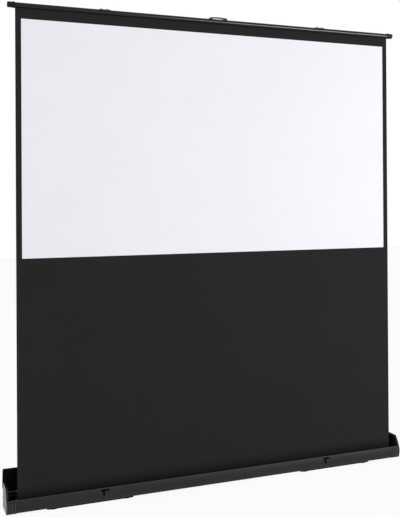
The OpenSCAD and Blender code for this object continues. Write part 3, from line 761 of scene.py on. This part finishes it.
def makeStrap(values):
    low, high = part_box("handle_strap")
    middle = (low[1] + high[1]) / 2
    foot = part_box("bar_tube")[1][2] + values["low"]
    climb = values["rise"] - values["thickness"] - values["low"]
    deselectAll()
    bpy.ops.mesh.primitive_grid_add(x_subdivisions=values["cutsAlong"], y_subdivisions=values["cutsAcross"],
                                    size=1)
    strap = named("handleStrap")
    for vertex in strap.data.vertices:
        u, v = vertex.co.x * 2, vertex.co.y * 2
        z = foot + climb * (1 - abs(u) ** values["arch"]) + values["thickness"] - values["topRoom"]
        if abs(v) > values["beadFrom"]:
            out = (abs(v) - values["beadFrom"]) / (1 - values["beadFrom"])
            z += values["edgeBead"] * math.sin(out * math.pi / 2)
        elif abs(u) < values["ribReach"]:
            wave = math.cos(u / values["ribReach"] * math.pi * values["gripRibs"])
            z += values["ribHeight"] * max(0, wave)
        vertex.co = (u * values["reach"], middle + v * values["width"] / 2, z)
    addModifier(strap, "SOLIDIFY", thickness=values["thickness"] - values["topRoom"], offset=-1)
    addModifier(strap, "BEVEL", width=values["edgeRound"], segments=2, limit_method="ANGLE",
                angle_limit=math.radians(values["sharpAngle"]))
    smooth(strap, values["sharpAngle"])
    finishPiece(strap, "strap_grey", "top_bar")
    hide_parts("handle_strap")


makeStrap(strapValues)
print("handle strap made")


padValues = {
    "grooves": 4,
    "firstGroove": 0.7,       # from the middle, in groove spacings
    "outerRoom": 0.4,         # beyond the last groove, in groove spacings
    "grooveDepth": 0.8 * mm,
    "grooveWidth": 1.6 * mm,
    "grooveFloor": 0.5,       # share of a groove's width
    "round": 0.8 * mm,
    "roundShare": 0.3,        # where the rounded edge's middle point lies
    "steps": 48,
}


def makeFootPads(values):
    for side in ("left", "right"):
        nodeName = "foot_pads_" + side
        low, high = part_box(nodeName)
        radius = (high[1] - low[1]) / 2
        height = high[2] - low[2]
        outline = [(0, 0)]
        for i in range(values["grooves"]):
            r = radius * (i + values["firstGroove"]) / (values["grooves"] + values["outerRoom"])
            w, d = values["grooveWidth"] / 2, values["grooveDepth"]
            inner = w * values["grooveFloor"]
            outline += [(r - w, 0), (r - inner, d), (r + inner, d), (r + w, 0)]
        edge = values["round"]
        cut = edge * values["roundShare"]
        outline += [(radius - edge, 0), (radius - cut, cut), (radius, edge), (radius, height), (0, height)]
        y = (low[1] + high[1]) / 2
        ends = [movedTo(x, y, low[2]) for x in (low[0] + radius, high[0] - radius)]
        pads = joined(copiesOf(turned("pad", outline, values["steps"]), ends), "footPads" + side.capitalize())
        finishPiece(pads, "rubber_pad", "foot_" + side)
        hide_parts(nodeName)


makeFootPads(padValues)
print("foot pads made")


rivetValues = {
    "round": 2.6 * mm,
    "height": 1.1 * mm,
    "bed": 0.2 * mm,
    "arc": range(0, 90, 22),
    "steps": 12,
    "smoothTo": 40,
    "alongHinge": 24,
    "hingeReach": 0.93,       # from the middle to the outermost rivet, metres
    "leafThickness": 1.2 * mm,
    "belowPin": 8.6 * mm,     # the row on the case
    "abovePin": 12 * mm,      # the row on the lid, when it is closed
    "lidTurn": -80,           # from closed to how it stands at rest, degrees
}


def dome(values):
    radius, height, bed = values["round"], values["height"], values["bed"]
    crown = [(radius * math.cos(a), height * math.sin(a)) for a in inRadians(values["arc"])]
    return turned("rivetHead", [(0, -bed), (radius, -bed)] + crown + [(0, height)], values["steps"])


def makeHingeRivets(values):
    pinLow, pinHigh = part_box("hinge_pin")
    axis = Vector((0, (pinLow[1] + pinHigh[1]) / 2, (pinLow[2] + pinHigh[2]) / 2))
    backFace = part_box("case_back")[1][1] + values["leafThickness"]
    spread = [2 * i / (values["alongHinge"] - 1) - 1 for i in range(values["alongHinge"])]
    lidOpen = movedTo(*axis) @ Matrix.Rotation(math.radians(values["lidTurn"]), 4, "X") @ movedTo(*-axis)
    rows = (("hingeRivetsCase", "case", axis.z - values["belowPin"], Matrix(), "case_black"),
            ("hingeRivetsLid", "lid", axis.z + values["abovePin"], lidOpen, "lid_black"))
    for name, body, z, turn, slotName in rows:
        places = [turn @ movedTo(values["hingeReach"] * share, backFace, z) @ laidBack for share in spread]
        rivets = joined(copiesOf(dome(values), places), name)
        smooth(rivets, values["smoothTo"])
        finishPiece(rivets, slotName, body, "screw_black")


makeHingeRivets(rivetValues)
print("hinge rivets made")


washerValues = {
    "inner": 3.1 * mm,
    "outer": 8 * mm,
    "thickness": 0.9 * mm,
    "edgeCut": 0.2 * mm,
    "clearance": 0.05 * mm,
    "steps": 40,
}


def makeElbowWashers(values):
    r0, r1, t, cut = values["inner"], values["outer"], values["thickness"], values["edgeCut"]
    outline = [(r0, 0), (r1 - cut, 0), (r1, cut), (r1, t - cut), (r1 - cut, t), (r0, t), (r0, 0)]
    places = []
    for side in ("left", "right"):
        low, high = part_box("elbow_pin_" + side)
        gapStart = min(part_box("lower_arm_" + side)[1][1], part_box("upper_arm_" + side)[1][1])
        y = gapStart + values["clearance"]
        places.append(movedTo((low[0] + high[0]) / 2, y, (low[2] + high[2]) / 2) @ laidBack)
    washers = copiesOf(turned("washer", outline, values["steps"]), places)
    for side, washer in zip(("left", "right"), washers):
        useOnly(washer)
        named("elbowWasher" + side.capitalize())
        finishPiece(washer, "rod_white", "lower_arm_" + side, "washer_nylon")


makeElbowWashers(washerValues)
print("elbow washers made")


knobValues = {
    "ridges": 24,
    "ridgeRound": 0.35 * mm,
    "ridgeSides": 8,
    "length": 9 * mm,
    "from": 1.5 * mm,         # from the ring's inner end
    "radius": 13 * mm,
    "smoothTo": 50,
}


def roundOf(radius, count):
    return [onCircle(0, 0, radius, 2 * math.pi * i / count) for i in range(count)]


def makeKnobRidges(values):
    for side, nodeName in ((-1, "bar_knob_left"), (1, "bar_knob_right")):
        low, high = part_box(nodeName)
        y, z = (low[1] + high[1]) / 2, (low[2] + high[2]) / 2
        start = (high[0] - values["from"] - values["length"]) if side < 0 else (low[0] + values["from"])
        ridge = drawnAlong("ridge", roundOf(values["ridgeRound"], values["ridgeSides"]), 0, values["length"],
                           closed=True)
        places = [movedTo(start, y + across, z + up)
                  for across, up in roundOf(values["radius"], values["ridges"])]
        piece = joined(copiesOf(ridge, places), "knobRidgesLeft" if side < 0 else "knobRidgesRight")
        smooth(piece, values["smoothTo"])
        finishPiece(piece, "knob_plastic", "top_bar")


makeKnobRidges(knobValues)
print("knob ridges made")


studioValues = {
    "floorSize": 30,
    "floorColour": (0.9, 0.9, 0.9, 1),
    "floorRough": 0.9,
    "floorSpecular": 0.1,
    "seenShare": 0.93,        # how much of the floor's look is plain white
    "worldStrength": 0.58,
    "worldTint": (0.945, 0.95, 1, 1),
    "aimHeight": 1.1,
    "lamps": {                # place, power, width and height of the glowing face
        "keyLamp": ((3.1, -3.9, 1.2), 96, 3.4, 0.5),
        "fillLamp": ((-4, -3, 2.4), 27, 3, 3),
        "glossStrip": ((3.1, -3.9, 1.2), 560, 3.4, 0.5),
    },
}


# 1 where the camera, a glossy surface or glass sees it, 0 where it only lights the rest
def whiteForTheEye(tree):
    path = node(tree, "ShaderNodeLightPath")
    first = greater(tree, path.outputs["Is Camera Ray"], path.outputs["Is Glossy Ray"])
    return greater(tree, first, path.outputs["Is Transmission Ray"])


def mixedBy(tree, share, plain, seen):
    mix = node(tree, "ShaderNodeMixShader")
    tree.links.new(share, mix.inputs["Fac"])
    tree.links.new(plain, mix.inputs[1])
    tree.links.new(seen, mix.inputs[2])
    return mix.outputs["Shader"]


def makeFloor(values):
    deselectAll()
    bpy.ops.mesh.primitive_plane_add(size=values["floorSize"])
    floor = named("studioFloor")
    cover = bpy.data.materials.new("studioWhite")
    cover.use_nodes = True
    tree = cover.node_tree
    shader = tree.nodes["Principled BSDF"]
    shader.inputs["Base Color"].default_value = values["floorColour"]
    shader.inputs["Roughness"].default_value = values["floorRough"]
    shader.inputs["Specular IOR Level"].default_value = values["floorSpecular"]
    plain = node(tree, "ShaderNodeEmission")
    share = node(tree, "ShaderNodeMath", operation="MULTIPLY")
    share.inputs[1].default_value = values["seenShare"]
    tree.links.new(whiteForTheEye(tree), share.inputs[0])
    look = mixedBy(tree, share.outputs["Value"], shader.outputs["BSDF"], plain.outputs["Emission"])
    tree.links.new(look, tree.nodes["Material Output"].inputs["Surface"])
    floor.data.materials.append(cover)


def makeWorld(values):
    world = bpy.data.worlds.new("studioWorld")
    bpy.context.scene.world = world
    world.use_nodes = True
    tree = world.node_tree
    soft = tree.nodes["Background"]
    soft.inputs["Color"].default_value = values["worldTint"]
    soft.inputs["Strength"].default_value = values["worldStrength"]
    white = node(tree, "ShaderNodeBackground")
    white.inputs["Color"].default_value = (1, 1, 1, 1)
    look = mixedBy(tree, whiteForTheEye(tree), soft.outputs["Background"], white.outputs["Background"])
    tree.links.new(look, tree.nodes["World Output"].inputs["Surface"])


def makeLamps(values):
    for name, (place, power, width, height) in values["lamps"].items():
        lampData = bpy.data.lights.new(name, "AREA")
        lampData.shape = "RECTANGLE"
        lampData.energy = power
        lampData.size = width
        lampData.size_y = height
        lamp = linked(name, lampData)
        lamp.location = place
        aim = Vector((0, 0, values["aimHeight"])) - Vector(place)
        lamp.rotation_euler = aim.to_track_quat("-Z", "Y").to_euler()
        if name == "glossStrip":          # only puts the long highlight on the bar
            lamp.visible_diffuse = False
            bar = bpy.data.collections.new("barOnly")
            bar.objects.link(frame["nodes"]["bar_tube"])
            lamp.light_linking.receiver_collection = bar


makeFloor(studioValues)
makeWorld(studioValues)
makeLamps(studioValues)
bpy.context.scene.view_settings.view_transform = "Standard"
print("studio set")
